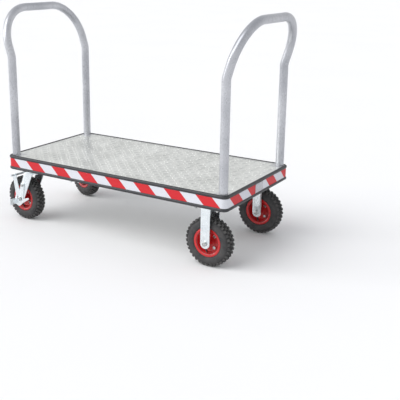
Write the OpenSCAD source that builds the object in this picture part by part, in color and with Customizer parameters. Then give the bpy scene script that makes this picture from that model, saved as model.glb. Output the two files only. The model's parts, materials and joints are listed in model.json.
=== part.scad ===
// Platform truck: an aluminium tread-plate deck with a striped bumper, two lift-out bow handles,
// two rigid casters at the right end and two braked swivel casters at the left end.
// X runs along the deck, Y across it and Z up. The origin is on the floor under the deck's centre.
// A caster's own frame has its wheel's contact point at the origin, X forward and -Y to the bolt heads.

/* [Deck] */
// Length over the bumper
deck_l = 1219; // [1000:1:1600]
// Width over the bumper
deck_w = 610; // [560:1:800]
// Thickness of the tread plate
plate_t = 3; // [2:0.5:6]
// Height of the frame under the tread plate
frame_h = 54; // [45:1:80]
// Width of the perimeter rails
rail_w = 25; // [20:1:35]
// Wall of the rails and the cross members
rail_wall = 3; // [2:0.5:5]
// Width of a cross member
cross_w = 25; // [20:1:40]
// Side of the square corner castings that hold the handles
casting_w = 60; // [55:1:75]
// Thickness of the weld pads that the casters bolt to
pad_t = 5; // [4:0.5:8]
// Length of a weld pad
pad_l = 142; // [136:1:170]

/* [Bumper] */
// Height of the bumper
bumper_h = 71; // [66:1:90]
// Thickness of the bumper over its beads
bumper_t = 9; // [8:0.5:12]
// Radius of the two beads
bead_r = 8; // [7:0.5:8]
// Thickness of the web that carries the tape
bumper_web = 5; // [4:0.5:6]
// Height of the upper bead above the tread plate
bead_lip = 3; // [1:0.5:5]
// Radius of the bumper's corners, at the outside
corner_r = 28; // [24:1:40]
// Thickness of the aluminium edge strip behind the bumper
strip_t = 2; // [1.5:0.5:3]
// Width of the reflective tape
tape_w = 40; // [30:1:41]
// Length of one stripe along the tape
stripe_l = 79; // [50:1:120]
// First red stripe on the near side, from the left corner's end
near_red = 94; // [0:1:159]
// First red stripe on the far side, from the right-hand joint
far_red = 66; // [0:1:159]
// Length of the cover over each bumper joint
cover_l = 73; // [40:1:100]

/* [Handles] */
// Outside diameter of the handle tube
tube_d = 38.1; // [30:0.1:40]
// Wall of the handle tube
tube_wall = 2.5; // [1.5:0.5:4]
// Distance from the bumper's outside to the centre of a handle leg
leg_inset = 32.5; // [32:0.5:40]
// Height above the deck where a leg starts to lean outward
leg_h = 477; // [300:1:700]
// Angle that the top of the handle leans outward
lean = 17.6; // [5:0.1:30]
// Bend radius where a leg starts to lean
lean_r = 70; // [50:1:120]
// Straight length from the lean to the bow
rise = 54; // [30:1:150]
// Bend radius of the bow's two corners
bow_r = 178; // [80:1:190]
// Gap between a handle leg and its socket, on the radius
socket_gap = 0.3; // [0.2:0.1:0.6]
// Thickness of a socket's floor
socket_floor = 4; // [3:0.5:8]

/* [Wheels] */
// Diameter of a tyre over its knobs
tyre_d = 220; // [200:1:260]
// Width of a tyre
tyre_w = 62; // [56:1:66]
// Diameter of the rim over its flanges
rim_d = 130; // [120:1:140]
// Thickness of the rim's pressed sheet
rim_t = 2; // [1.5:0.5:3]
// Width of the rim over its flanges
rim_w = 52; // [46:1:54]
// Width of the hub over its bearings
hub_w = 60; // [56:1:70]
// Radius of the circle of rim bolts
rim_bolt_at = 35; // [31:1:36]

/* [Casters] */
// Distance from the deck's centre to the rigid casters' axles
rigid_x = 502; // [300:1:510]
// Distance from the middle line to the rigid casters
rigid_y = 244; // [150:1:244]
// Distance from the deck's centre to the swivel casters' kingpins
swivel_x = 506; // [300:1:510]
// Distance from the middle line to the swivel casters' kingpins
swivel_y = 225; // [190:1:235]
// Distance that a swivel wheel trails behind its kingpin
trail = 65; // [50:1:75]
// Direction of the near swivel caster at rest
near_turn = -4; // [-180:1:180]
// Direction of the far swivel caster at rest
far_turn = -18; // [-180:1:180]
// Length of a caster's top plate
top_l = 130; // [126:1:136]
// Width of a caster's top plate
top_w = 96; // [92:1:98]
// Thickness of a caster's top plate
top_t = 5; // [4:0.5:8]
// Bolt spacing along a top plate
bolt_l = 102; // [90:1:106]
// Bolt spacing across a top plate
bolt_w = 70; // [60:1:74]
// Clear width inside a fork
fork_gap = 78; // [74:1:90]
// Thickness of the fork's steel
fork_t = 5; // [4:0.5:8]
// Width of a fork leg at the axle
leg_w = 44; // [36:1:50]
// Gap between a swivel wheel and its fork's crown
crown_gap = 29; // [25:1:40]
// Height of a swivel caster's ball race
race_h = 17; // [15:1:24]
// Diameter of an axle bolt
axle_d = 12; // [10:1:14]
// Diameter of a kingpin
king_d = 16; // [12:1:20]
// Radial running clearance of the wheels, kingpins and brake pivots
run_gap = 0.05; // [0.02:0.01:0.1]

/* [Brakes] */
// Thickness of the brake lever's plates
lever_t = 3; // [2:0.5:4]
// Radius of the bar that presses on the tyre
bar_r = 5; // [4:0.5:7]
// Gap between the bar and the tyre with the brake off
bar_gap = 7.5; // [5:0.5:9]
// How far the lever turns from off to on
brake_turn = 8; // [5:0.5:8]
// Width of the foot pedal, outward from the lever
pedal_w = 33; // [25:1:34]
// Height of the foot pedal
pedal_h = 31; // [20:1:40]

/* [Hidden] */
$fn = 64;
eps = 0.01;
slack = 0.1;                                   // gap of a bolt in its hole, on the radius
tape_t = 0.4;
print_t = 0.2;
joint_gap = 0.8;                               // gap between the bumper's two lengths
cover_t = 1.2;
cross_in = 45;                                 // from a caster's middle to the next cross member

wheel_r = tyre_d / 2;
caster_h = tyre_d + crown_gap + fork_t + race_h + top_t;
pad_z = caster_h;
frame_z = pad_z + pad_t;
plate_z = frame_z + frame_h;
deck_z = plate_z + plate_t;
bumper_z = deck_z + bead_lip - bumper_h;
tape_z = bumper_z + (bumper_h - tape_w) / 2;

face_l = deck_l - 2 * bumper_t;                // bumper's inner face
face_w = deck_w - 2 * bumper_t;
face_r = corner_r - bumper_t;
frame_l = face_l - 2 * strip_t;                // frame's outside
frame_w = face_w - 2 * strip_t;
frame_r = face_r - strip_t;
run_l = face_l - 2 * face_r;                   // straight lengths of the bumper
run_w = face_w - 2 * face_r;
tape_at = bumper_web + tape_t;
arc_l = (face_r + tape_at) * PI / 2;           // tape round one corner

leg_x = deck_l / 2 - leg_inset;
leg_y = deck_w / 2 - leg_inset;
leg_z = frame_z + socket_floor + socket_gap;
bend_z = deck_z + leg_h;
bend_in = lean_r * tan(lean / 2);
bend_swell = 0.3;                              // a bent tube's growth on the radius
tuck = 0.05;                                   // how far straight sides end inside a round end

hub_r = 17.8;
bearing_r = 14;
bearing_w = 10;
disc_r = 18;
dish_r = 45;                                   // where the rim's disc turns into its dish
seat_r = rim_d / 2 - 14;                       // the tyre's bead seat
cavity_r = tyre_w / 2 - 10;
cavity_at = (wheel_r + seat_r) / 2;
bead_in = 17;                                  // from the middle plane to the tyre's beads
valve_turn = 95;
valve_end = [seat_r - 13, 22];                 // radius and distance from the middle plane
valve_slant = 0.79;

fork_n = fork_gap / 2;                         // inner and outer faces of the fork's legs
fork_out = fork_n + fork_t;
head_h = 7.5;
nut_h = 10;
axle_flats = 19;
crown_z = caster_h - top_t - race_h - fork_t;
crown_r = 46;
race_r = 42;
race_bore = 20;
ball_r = 3;
ball_at = 31;
ball_z = crown_z + fork_t + race_h / 2;
ball_n = 20;
leg_top = [trail - 27, trail + 27];            // a swivel leg's top edge, along the caster
axle = [0, wheel_r];
nut_flats = 17;
stud_r = 5;
stud_nut_h = 8;
stud_tip = 5;                                  // how far a stud's end stands out of its nut

bar = axle + (wheel_r + bar_gap + bar_r) * [cos(106), sin(106)];
pivot = [20, wheel_r + 74];
lever_in = fork_out + 0.6;                     // inner face of the brake lever's plates
nut_clear = axle_flats / sqrt(3) + 1.2;
lobe = [-6, wheel_r - 2];
pedal_x = lobe.x - 32;
pedal_z = wheel_r - 33;
bar_out = 21;                                  // the bar's end past the lever's outer plate

casters = ["rigid_near", "rigid_far", "swivel_near", "swivel_far"];
swivels = ["swivel_near", "swivel_far"];

function is_far(c) = c == "rigid_far" || c == "swivel_far";
function is_rigid(c) = c == "rigid_near" || c == "rigid_far";
function side(c) = is_far(c) ? 1 : -1;
function mount_at(c) = is_rigid(c) ? [rigid_x, side(c) * rigid_y] : [-swivel_x, side(c) * swivel_y];
function turn(c) = is_rigid(c) ? 0 : (is_far(c) ? far_turn : near_turn);

// Touching point of the line from p to the circle round c
function tangent(c, r, p, way) =
    let (v = p - c, a = atan2(v.y, v.x) + way * acos(r / norm(v))) c + r * [cos(a), sin(a)];

// ---------- shared shapes ----------

module rounded_rect(l, w, r) {
    square([l - 2 * r, w], center = true);
    square([l, w - 2 * r], center = true);
    for (x = [-1, 1], y = [-1, 1]) translate([x * (l / 2 - r), y * (w / 2 - r)]) circle(r);
}

// One straight length of a profile: its X points outward past a face that is w / 2 from the middle
module straight(l, w) {
    translate([-l / 2, w / 2, 0]) rotate([90, 0, 90]) linear_extrude(l) children();
}

// A profile carried all round the deck's rounded rectangle
module perimeter() {
    for (a = [0, 180]) rotate(a) {
        straight(run_l, face_w) children();
        rotate(90) straight(run_w, face_l) children();
        translate([run_l / 2, run_w / 2, 0]) rotate_extrude(angle = 90)
            translate([face_r, 0]) children();
        translate([-run_l / 2, run_w / 2, 0]) rotate(90) rotate_extrude(angle = 90)
            translate([face_r, 0]) children();
    }
}

module joint_slits(z, h) {
    translate([-deck_l, -joint_gap / 2, z - 1]) cube([2 * deck_l, joint_gap, h + 2]);
}

module box_tube(l, w, h, wall) {
    difference() {
        translate([-l / 2, -w / 2, 0]) cube([l, w, h]);
        translate([-l / 2 - 1, -w / 2 + wall, wall]) cube([l + 2, w - 2 * wall, h - 2 * wall]);
    }
}

module hexagon(flats, h) {
    cylinder(r = flats / sqrt(3), h = h, $fn = 6);
}

// In a caster's frame: a plate of thickness t whose inner face is n from the wheel's middle plane
module slab(n, t) {
    translate([0, -n, 0]) rotate([90, 0, 0]) linear_extrude(t) children();
}

// In a caster's frame: what stands on point p of the wheel's middle plane, axis towards -Y
module across(p, n) {
    translate([p.x, -n, p.y]) rotate([90, 0, 0]) children();
}

module turned() {
    across(axle, 0) rotate_extrude() children();
}

module around_axle(a) {
    translate([0, 0, wheel_r]) rotate([0, a, 0]) children();
}

// A plate's outline with a round end at c and straight sides up to the edge from p to q
module tongue(c, r, p, q) {
    translate(c) circle(r);
    polygon([q, p, tangent(c, r - tuck, p, 1), tangent(c, r - tuck, q, -1)]);
}

// Two circles and the band between their outer tangents
module link(a, ra, b, rb) {
    v = b - a;
    h = atan2(v.y, v.x);
    k = acos((ra - rb) / norm(v));
    up = [cos(h + k), sin(h + k)];
    down = [cos(h - k), sin(h - k)];
    translate(a) circle(ra);
    translate(b) circle(rb);
    polygon([a + (ra - tuck) * up, b + (rb - tuck) * up, b + (rb - tuck) * down, a + (ra - tuck) * down]);
}

module at_caster(c) {
    translate(concat(mount_at(c), 0)) rotate(turn(c))
        translate([is_rigid(c) ? 0 : -trail, 0, 0]) children();
}

module stud_places(c) {
    for (x = [-1, 1], y = [-1, 1])
        translate(concat(mount_at(c), 0)) translate([x * bolt_l / 2, y * bolt_w / 2, 0]) children();
}

// ---------- deck ----------

module tread_plate() {
    color("gainsboro") difference() {
        translate([0, 0, plate_z]) linear_extrude(plate_t) rounded_rect(frame_l, frame_w, frame_r);
        for (x = [-1, 1], y = [-1, 1])
            translate([x * frame_l / 2, y * frame_w / 2, deck_z])
                cube([2 * casting_w, 2 * casting_w, 4 * plate_t], center = true);
    }
}

module side_rails() {
    color("silver") for (y = [-1, 1])
        translate([0, y * (frame_w - rail_w) / 2, frame_z])
            box_tube(frame_l - 2 * casting_w, rail_w, frame_h, rail_wall);
}

module end_rails() {
    color("silver") for (x = [-1, 1])
        translate([x * (frame_l - rail_w) / 2, 0, frame_z]) rotate(90)
            box_tube(frame_w - 2 * casting_w, rail_w, frame_h, rail_wall);
}

module cross_members() {
    outer = frame_l / 2 - casting_w - cross_w / 2 - 1;
    middle = deck_l / 7;
    color("silver")
        for (x = [-outer, -swivel_x + cross_in, -middle, middle, rigid_x - cross_in, outer])
            translate([x, 0, frame_z]) rotate(90)
                box_tube(frame_w - 2 * rail_w, cross_w, frame_h, rail_wall);
}

module caster_pads() {
    color("silver") difference() {
        for (c = casters) {
            at = mount_at(c);
            y_in = abs(at.y) - top_w / 2;
            translate([at.x - pad_l / 2, side(c) > 0 ? y_in : -frame_w / 2, pad_z])
                cube([pad_l, frame_w / 2 - y_in, pad_t]);
        }
        for (c = casters) stud_places(c) translate([0, 0, pad_z - 1])
            cylinder(r = stud_r + slack, h = pad_t + 2);
        for (c = swivels) translate(concat(mount_at(c), pad_z - 1))
            cylinder(d = king_d + 4, h = pad_t + 2);
    }
}

// A cast block at each corner, with a blind bore that a handle leg drops into
module corner_castings() {
    color("lightgray") for (x = [-1, 1], y = [-1, 1]) difference() {
        translate([0, 0, frame_z]) linear_extrude(frame_h + plate_t) intersection() {
            rounded_rect(frame_l, frame_w, frame_r);
            translate([x * frame_l / 2, y * frame_w / 2])
                square(2 * casting_w - 0.4, center = true);
        }
        translate([x * leg_x, y * leg_y, frame_z + socket_floor])
            cylinder(d = tube_d + 2 * socket_gap, h = frame_h + plate_t);
        translate([x * leg_x, y * leg_y, frame_z - 1]) cylinder(r = 4, h = socket_floor + 2);
    }
}

// M10 studs welded into the pads, each with its nut under the caster's top plate
module caster_studs() {
    nut_z = pad_z - top_t - stud_nut_h;
    color("lightsteelblue") for (c = casters) stud_places(c) {
        translate([0, 0, nut_z]) hexagon(nut_flats, stud_nut_h);
        translate([0, 0, nut_z - stud_tip]) cylinder(r = stud_r, h = pad_z + pad_t - nut_z + stud_tip - eps);
    }
}

// ---------- bumper ----------

module edge_strip() {
    color("whitesmoke") perimeter()
        translate([-strip_t, pad_z]) square([strip_t, deck_z - pad_z]);
}

module bumper_profile() {
    color("darkslategray") difference() {
        perimeter() translate([0, bumper_z]) {
            translate([0, bead_r]) square([bumper_web, bumper_h - 2 * bead_r]);
            for (z = [bead_r, bumper_h - bead_r]) intersection() {
                translate([bumper_t - bead_r, z]) circle(bead_r);
                translate([0, z - bead_r]) square(2 * bead_r);
            }
        }
        joint_slits(bumper_z, bumper_h);
    }
}

module tape_white() {
    color("white") difference() {
        perimeter() translate([bumper_web, tape_z]) square([tape_t, tape_w]);
        joint_slits(tape_z, tape_w);
    }
}

// Red stripes on a straight stretch of tape from lo to hi, the first one starting at first.
// A stripe slants: its lower edge lies tape_w further along.
module stripes(first, lo, hi) {
    k0 = floor((lo - first) / (2 * stripe_l)) - 1;
    k1 = ceil((hi - first) / (2 * stripe_l));
    linear_extrude(print_t) intersection() {
        translate([lo, 0]) square([hi - lo, tape_w]);
        for (k = [k0:k1]) {
            a = first + 2 * k * stripe_l;
            polygon([[a, tape_w], [a + stripe_l, tape_w], [a + stripe_l + tape_w, 0], [a + tape_w, 0]]);
        }
    }
}

// Red on one corner's arc, where the tape has run on from a stretch whose corner starts at s
module corner_red(first, s) {
    k0 = floor((s - first) / (2 * stripe_l)) - 1;
    for (k = [k0:k0 + 2]) {
        a = first + 2 * k * stripe_l + tape_w / 2 - s;
        lo = max(a, 0);
        hi = min(a + stripe_l, arc_l);
        if (hi > lo + 1) rotate(90 * lo / arc_l) rotate_extrude(angle = 90 * (hi - lo) / arc_l)
            translate([face_r + tape_at, tape_z]) square([print_t, tape_w]);
    }
}

// One half of the tape, from the left joint round the near side to the right joint.
// first is the first red edge, from the start of the long straight stretch.
module red_half(first) {
    half = run_w / 2 - joint_gap / 2;
    translate([-run_l / 2, -face_w / 2 - tape_at, tape_z]) rotate([90, 0, 0])
        stripes(first, 0, run_l);
    translate([-face_l / 2 - tape_at, 0, tape_z]) rotate([90, 0, -90])
        stripes(first + arc_l + run_w / 2, joint_gap / 2, run_w / 2);
    translate([face_l / 2 + tape_at, -run_w / 2, tape_z]) rotate([90, 0, 90])
        stripes(first - run_l - arc_l, 0, half);
    translate([-run_l / 2, -run_w / 2, 0]) rotate(180) corner_red(first, -arc_l);
    translate([run_l / 2, -run_w / 2, 0]) rotate(-90) corner_red(first, run_l);
}

module tape_red() {
    color("crimson") {
        red_half(near_red);
        rotate(180) red_half(far_red - run_w / 2 - arc_l);
    }
}

module joint_covers() {
    color("darkgray") for (a = [0, 180]) rotate(a)
        translate([face_l / 2 + tape_at + print_t, -cover_l / 2, tape_z])
            cube([cover_t, cover_l, tape_w]);
}

// ---------- handles ----------

// Centre line of the right-hand handle as a round bar: a leg on each side, a short lean outward and
// a bow over the top. The two leg bends swell a little, and lap the straights by lap degrees.
module handle_path(r, below) {
    lap = 0.4;
    for (y = [-1, 1]) translate([leg_x, y * leg_y, 0]) {
        translate([0, 0, leg_z - below]) cylinder(r = r, h = bend_z - bend_in - leg_z + below);
        translate([lean_r, 0, bend_z - bend_in]) rotate([90, 0, 0]) rotate(180 - lean - lap)
            rotate_extrude(angle = lean + 2 * lap) translate([lean_r, 0]) circle(r + bend_swell);
    }
    translate([leg_x, 0, bend_z]) rotate([0, lean, 0]) {
        for (y = [0, 1]) mirror([0, y, 0]) {
            translate([0, leg_y, bend_in]) cylinder(r = r, h = rise - bend_in);
            translate([0, leg_y - bow_r, rise]) rotate([0, 90, 0]) rotate(90)
                rotate_extrude(angle = 90) translate([bow_r, 0]) circle(r);
        }
        translate([0, bow_r - leg_y, rise + bow_r]) rotate([-90, 0, 0])
            cylinder(r = r, h = 2 * (leg_y - bow_r));
    }
}

module handle() {
    color("gainsboro") difference() {
        handle_path(tube_d / 2, 0);
        handle_path(tube_d / 2 - tube_wall, 1);
    }
}

module right_handle() {
    handle();
}

module left_handle() {
    rotate(180) handle();
}

// ---------- wheel, in a caster's frame ----------

module tyre() {
    w = tyre_w / 2;
    bead = rim_w / 2 - rim_t - 0.4;
    shoulder = w - 6;
    half = [[seat_r + 0.2, bead], [rim_d / 2 + 0.8, bead], [rim_d / 2 + 2, rim_w / 2 + 1],
            [cavity_at - 4, w], [cavity_at + 10, w - 1], [wheel_r - 6, shoulder],
            [wheel_r - 1.5, shoulder - 6], [wheel_r, shoulder - 14]];
    flip = [for (i = [len(half) - 1:-1:0]) [half[i].x, -half[i].y]];
    color("dimgray") turned() difference() {
        polygon(concat(half, flip));
        translate([cavity_at, 0]) circle(cavity_r);
        translate([seat_r - 1, -bead_in]) square([cavity_at - seat_r, 2 * bead_in]);
    }
}

// Valve stem: from inside the tyre, slanting through the outer rim half, to past its end
module valve(r, past) {
    reach = cavity_at - cavity_r + 5 - valve_end.x;
    from = valve_end + reach * [1, -valve_slant];
    way = valve_end - from;
    around_axle(valve_turn) translate([from.x, -from.y, 0])
        rotate(-atan2(way.y, way.x)) rotate([0, 90, 0]) cylinder(r = r, h = norm(way) + past);
}

module inner_tube() {
    color("black") {
        turned() translate([cavity_at, 0]) circle(cavity_r - 0.4);
        valve(3.5, 0);
    }
}

module rim_half() {
    n = rim_w / 2;
    in = seat_r - rim_t;
    polygon([[disc_r, eps], [dish_r, eps], [seat_r, 9], [seat_r, n - rim_t], [rim_d / 2, n - rim_t],
             [rim_d / 2, n], [in, n], [in, 9 + rim_t / 2], [dish_r - rim_t / 2, rim_t + eps],
             [disc_r, rim_t + eps]]);
}

module rim_bolt_places() {
    for (a = [45:90:315]) around_axle(a) translate([rim_bolt_at, 0, 0]) rotate([90, 0, 0]) children();
}

module rim() {
    color("red") difference() {
        turned() {
            rim_half();
            mirror([0, 1]) rim_half();
        }
        rim_bolt_places() translate([0, 0, -10]) cylinder(r = 4 + slack, h = 20);
        valve(4, 26);
    }
}

module rim_bolts() {
    color("silver") rim_bolt_places() {
        translate([0, 0, rim_t + 2 * eps]) hexagon(13, 5.3);
        translate([0, 0, -rim_t - 7]) cylinder(r = 4, h = 2 * rim_t + 7 + 3 * eps);
        translate([0, 0, -rim_t - 6.5]) hexagon(13, 6.4);
    }
}

module hub() {
    color("red") turned() {
        for (y = [0, 1]) mirror([0, y]) {
            translate([bearing_r, 0]) square([hub_r - bearing_r, hub_w / 2]);
            translate([hub_r - eps, rim_t + 0.2]) square([7, 3]);
        }
    }
}

module bearings() {
    color("silver") turned() for (y = [0, 1]) mirror([0, y])
        translate([axle_d / 2 + run_gap, hub_w / 2 - bearing_w])
            square([bearing_r - axle_d / 2 - run_gap - 0.02, bearing_w]);
}

// ---------- caster, in its own frame ----------

module axle_bolt() {
    spacer = fork_n - hub_w / 2 - 0.4;
    color("silver") {
        across(axle, -fork_out - nut_h - 2) cylinder(d = axle_d, h = 2 * fork_out + nut_h + 2 + eps);
        across(axle, fork_out) hexagon(axle_flats, head_h);
        across(axle, -fork_out - nut_h) hexagon(axle_flats, nut_h);
        for (n = [fork_n - spacer, -fork_n]) difference() {
            across(axle, n) cylinder(d = axle_d + 7, h = spacer);
            across(axle, n - 1) cylinder(d = axle_d + 2 * slack, h = spacer + 2);
        }
    }
}

module top_plate() {
    difference() {
        translate([-top_l / 2, -top_w / 2, caster_h - top_t]) cube([top_l, top_w, top_t]);
        for (i = [-1, 1], j = [-1, 1])
            translate([i * bolt_l / 2, j * bolt_w / 2, caster_h - top_t - 1])
                cylinder(r = stud_r + 0.5, h = top_t + 2);
    }
}

module rigid_fork() {
    z = caster_h - top_t;
    rib_r = 10;
    color("lightsteelblue") difference() {
        union() {
            top_plate();
            translate([-leg_w / 2, -fork_out, z - fork_t]) cube([leg_w, 2 * fork_out, fork_t + eps]);
            for (n = [fork_n, -fork_out])
                slab(n, fork_t) tongue(axle, leg_w / 2, [-leg_w / 2, z + eps], [leg_w / 2, z + eps]);
            for (n = [fork_out - eps, -fork_out - 2])
                slab(n, 2) tongue([0, wheel_r + 40], rib_r, [-rib_r, z], [rib_r, z]);
        }
        across(axle, -fork_out - 1) cylinder(d = axle_d + 2 * slack, h = 2 * fork_out + 2);
    }
}

module swivel_fork() {
    z = crown_z + fork_t;
    color("lightsteelblue") difference() {
        union() {
            translate([trail, 0, crown_z]) cylinder(r = crown_r, h = fork_t);
            translate([leg_top[0], -fork_out, crown_z])
                cube([leg_top[1] - leg_top[0], 2 * fork_out, fork_t]);
            translate([trail, 0, z - eps]) cylinder(r = race_r, h = race_h / 2 - 0.3);
            for (n = [fork_n, -fork_out])
                slab(n, fork_t) tongue(axle, leg_w / 2, [leg_top[0], z], [leg_top[1], z]);
        }
        across(axle, -fork_out - 1) cylinder(d = axle_d + 2 * slack, h = 2 * fork_out + 2);
        across(pivot, -fork_out - 1) cylinder(r = 4 + slack, h = 2 * fork_out + 2);
        translate([trail, 0, crown_z - 1]) cylinder(d = king_d + 2 * run_gap, h = fork_t + 2);
        translate([trail, 0, z]) cylinder(r = race_bore, h = race_h);
        translate([trail, 0, ball_z]) rotate_extrude() translate([ball_at, 0]) circle(ball_r + 0.4);
    }
}

module swivel_top_plate() {
    color("lightsteelblue") difference() {
        union() {
            translate([trail, 0, 0]) top_plate();
            translate([trail, 0, ball_z + 0.4]) cylinder(r = race_r, h = race_h / 2 - 0.4 + eps);
        }
        translate([trail, 0, caster_h - top_t]) mirror([0, 0, 1]) cylinder(r = race_bore, h = race_h);
        translate([trail, 0, caster_h - top_t - 1]) cylinder(d = king_d + 2 * slack, h = top_t + 2);
        translate([trail, 0, ball_z]) rotate_extrude() translate([ball_at, 0]) circle(ball_r + 0.05);
    }
}

module balls() {
    color("silver") for (i = [0:ball_n - 1])
        translate([trail, 0, ball_z]) rotate(360 * i / ball_n) translate([ball_at, 0, 0])
            sphere(ball_r, $fn = 24);
}

module kingpin() {
    nut_z = crown_z - 0.5 - 8;
    color("silver") translate([trail, 0, 0]) {
        translate([0, 0, nut_z - 2]) cylinder(d = king_d, h = caster_h + 2 - nut_z);
        translate([0, 0, nut_z]) hexagon(24, 8);
    }
}

// ---------- brake, in a caster's frame ----------

// Outline of one plate of the lever: one arm up to the bar and one up to the pivot. The outer plate
// also has the pedal's root and a tail.
module lever_outline(outer) {
    rel = axle - pivot;
    slot_end = pivot + [rel.x * cos(brake_turn) + rel.y * sin(brake_turn),
                        rel.y * cos(brake_turn) - rel.x * sin(brake_turn)];
    difference() {
        union() {
            link(bar, 12, lobe, 18);
            link(pivot, 12, lobe + [14, 10], 15);
            link(lobe, 29, lobe + [-6, -14], 22);
            if (outer) {
                link(lobe + [8, -14], 12, axle + [60, 12], 4);
                translate([pedal_x, pedal_z]) square([lobe.x - 22 - pedal_x, pedal_h]);
            }
        }
        link(axle, nut_clear, slot_end, nut_clear);
        translate(pivot) circle(4 + run_gap);
    }
}

module brake_lever() {
    color("lightsteelblue") {
        slab(lever_in, lever_t) lever_outline(true);
        slab(-lever_in - lever_t, lever_t) lever_outline(false);
        across(bar, -lever_in - lever_t - 2)
            cylinder(r = bar_r, h = 2 * (lever_in + lever_t) + 2 + bar_out);
        slab(lever_in, lever_t + pedal_w) translate([pedal_x, pedal_z]) square([lever_t, pedal_h]);
    }
}

module brake_pivots() {
    color("silver") for (m = [0, 1]) mirror([0, m, 0]) {
        across(pivot, fork_n) cylinder(r = 4, h = lever_in + lever_t + 0.4 - fork_n + eps);
        across(pivot, lever_in + lever_t + 0.4) hexagon(13, 5);
    }
}

// ---------- assembly ----------

tread_plate();
side_rails();
end_rails();
cross_members();
caster_pads();
corner_castings();
edge_strip();
bumper_profile();
tape_white();
tape_red();
joint_covers();
caster_studs();
left_handle();
right_handle();
for (c = casters) {
    at_caster(c) tyre();
    at_caster(c) inner_tube();
    at_caster(c) rim();
    at_caster(c) rim_bolts();
    at_caster(c) hub();
    at_caster(c) bearings();
    at_caster(c) axle_bolt();
}
for (c = ["rigid_near", "rigid_far"])
    at_caster(c) rigid_fork();
for (c = swivels) {
    at_caster(c) swivel_fork();
    translate(concat(mount_at(c), 0)) translate([-trail, 0, 0]) swivel_top_plate();
    at_caster(c) balls();
    at_caster(c) kingpin();
    at_caster(c) brake_lever();
    at_caster(c) brake_pivots();
}
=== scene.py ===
# Platform truck: aluminium tread-plate deck, striped bumper, two bow handles, four pneumatic casters.
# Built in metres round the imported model, in its frame: X along the deck, Y across it, Z up.
import json
import math
import bmesh
import bpy
from mathutils import Matrix, Vector


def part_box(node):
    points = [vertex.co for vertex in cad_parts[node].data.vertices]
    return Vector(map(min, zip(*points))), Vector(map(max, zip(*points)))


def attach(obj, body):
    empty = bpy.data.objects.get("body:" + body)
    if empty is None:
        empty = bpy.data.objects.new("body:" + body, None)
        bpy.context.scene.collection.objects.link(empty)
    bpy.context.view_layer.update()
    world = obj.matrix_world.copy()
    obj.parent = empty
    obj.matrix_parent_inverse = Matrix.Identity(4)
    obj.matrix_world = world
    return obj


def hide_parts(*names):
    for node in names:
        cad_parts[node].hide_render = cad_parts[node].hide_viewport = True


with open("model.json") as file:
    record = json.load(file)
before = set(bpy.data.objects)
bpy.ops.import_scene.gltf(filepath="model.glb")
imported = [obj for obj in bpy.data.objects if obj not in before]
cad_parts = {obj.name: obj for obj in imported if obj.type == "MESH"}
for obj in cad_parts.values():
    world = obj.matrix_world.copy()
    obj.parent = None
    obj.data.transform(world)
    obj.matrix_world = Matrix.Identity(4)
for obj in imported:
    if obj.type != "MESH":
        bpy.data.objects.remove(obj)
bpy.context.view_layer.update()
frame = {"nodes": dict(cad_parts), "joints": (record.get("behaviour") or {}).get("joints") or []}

scene = bpy.context.scene


# ---- Meshes, objects and shader nodes ----

def in_scene(name, data):
    """A mesh, lamp or lens as an object in the scene."""
    made = bpy.data.objects.new(name, data)
    scene.collection.objects.link(made)
    return made


def soften(mesh, angle=32):
    """Smooth shading, kept sharp where faces meet at more than angle degrees."""
    mesh.polygons.foreach_set("use_smooth", [True] * len(mesh.polygons))
    mesh.set_sharp_from_angle(angle=math.radians(angle))


def meshed(name, shape, **shading):
    """Turns a bmesh into a softened mesh and frees it."""
    mesh = bpy.data.meshes.new(name)
    shape.to_mesh(mesh)
    shape.free()
    soften(mesh, **shading)
    return mesh


def set_material(piece, material):
    piece.data.materials.clear()
    piece.data.materials.append(material)


def wire(tree, kind, inputs=None, **settings):
    """Adds a node; each input is a value or another node's output."""
    made = tree.nodes.new(kind)
    for key, value in settings.items():
        setattr(made, key, value)
    for key, value in (inputs or {}).items():
        if isinstance(value, bpy.types.NodeSocket):
            tree.links.new(value, made.inputs[key])
        else:
            made.inputs[key].default_value = value
    return made


def finish(name, colour, roughness, metallic=0.0, **sockets):
    """A material's base: one principled shader with its plain values set on its own sockets."""
    made = bpy.data.materials.new(name)
    made.use_nodes = True
    shader = made.node_tree.nodes["Principled BSDF"]
    shader.inputs["Base Color"].default_value = (*colour, 1)
    shader.inputs["Roughness"].default_value = roughness
    shader.inputs["Metallic"].default_value = metallic
    for key, value in sockets.items():
        shader.inputs[key.replace("_", " ")].default_value = value
    made.diffuse_color = (*colour, 1)
    return made


def grain(material, scale, stretch=(1, 1, 1), detail=4.0, coordinate="Object", seed=0.0):
    """A noise field fixed to the piece, from 0 to 1; scale is in cells per metre."""
    tree = material.node_tree
    place = wire(tree, "ShaderNodeTexCoord")
    turned = wire(tree, "ShaderNodeMapping", {"Vector": place.outputs[coordinate], "Scale": stretch,
                                              "Location": (seed, seed, seed)})
    return wire(tree, "ShaderNodeTexNoise", {"Vector": turned.outputs["Vector"], "Scale": scale,
                                             "Detail": detail}).outputs["Fac"]


def tinted(material, field, dark, light, low=0.35, high=0.65):
    """Base colour from dark to light as the field rises from low to high."""
    tree = material.node_tree
    ramp = wire(tree, "ShaderNodeValToRGB", {"Fac": field})
    first, last = ramp.color_ramp.elements
    first.position, first.color = low, (*dark, 1)
    last.position, last.color = high, (*light, 1)
    tree.links.new(ramp.outputs["Color"], tree.nodes["Principled BSDF"].inputs["Base Color"])


def polished(material, field, low, high):
    """Roughness from low to high with the field."""
    tree = material.node_tree
    ranged = wire(tree, "ShaderNodeMapRange", {"Value": field, "From Min": 0.3, "From Max": 0.7,
                                               "To Min": low, "To Max": high})
    tree.links.new(ranged.outputs["Result"], tree.nodes["Principled BSDF"].inputs["Roughness"])


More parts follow.
